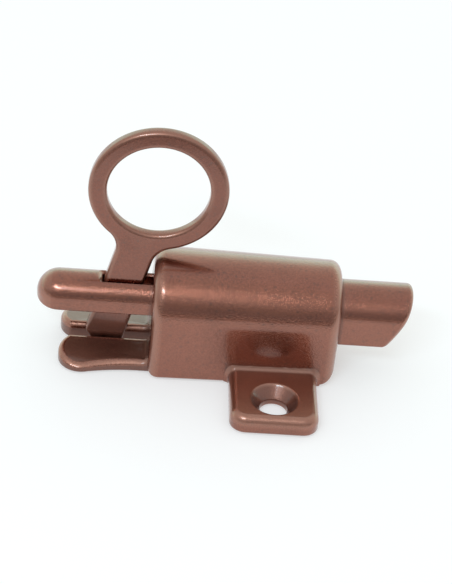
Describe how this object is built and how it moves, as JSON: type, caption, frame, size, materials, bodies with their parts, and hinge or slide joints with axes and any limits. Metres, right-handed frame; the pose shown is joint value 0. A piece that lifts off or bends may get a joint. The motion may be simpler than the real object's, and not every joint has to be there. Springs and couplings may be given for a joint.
{
  "type": "fanlight catch",
  "caption": "Small cast spring bolt catch with a pull-ring lever that rocks in a rear fork and draws the bolt back, on two countersunk screw lugs.",
  "frame": {"origin": "midway between the two screw holes, on the mounting face", "axes": "+X along the bolt towards its nose, +Z away from the mounting face"},
  "size_m": [0.0639, 0.0432, 0.0442],
  "materials": {
    "antique_copper": "cast brass, polished and plated antique copper",
    "antique_copper_bolt": "cast brass, polished and plated antique copper, rubbed bright where it slides",
    "antique_copper_lever": "cast brass, polished and plated antique copper",
    "spring_steel": "hard-drawn spring wire",
    "pin_steel": "drawn steel pin"
  },
  "bodies": {
    "body": {"body_casting": "antique_copper", "pivot_pin": "pin_steel", "return_spring": "spring_steel"},
    "bolt": {"bolt": "antique_copper_bolt"},
    "lever": {"ring_lever": "antique_copper_lever"}
  },
  "joints": [
    {"name": "lever_swing", "type": "hinge", "parent": "body", "child": "lever", "pos_m": [-0.0295, 0, 0.0012], "axis": [0, -1, 0], "range_deg": [0, 45.5], "stiffness_Nm_per_rad": 0.066, "springref_deg": -22.35},
    {"name": "bolt_slide", "type": "slide", "parent": "body", "child": "bolt", "axis": [-1, 0, 0], "range_m": [0, 0.01215], "deforming": ["return_spring"]}
  ],
  "couplings": [
    {"joint": "bolt_slide", "follows": "lever_swing", "m_per_rad": 0.015237}
  ]
}
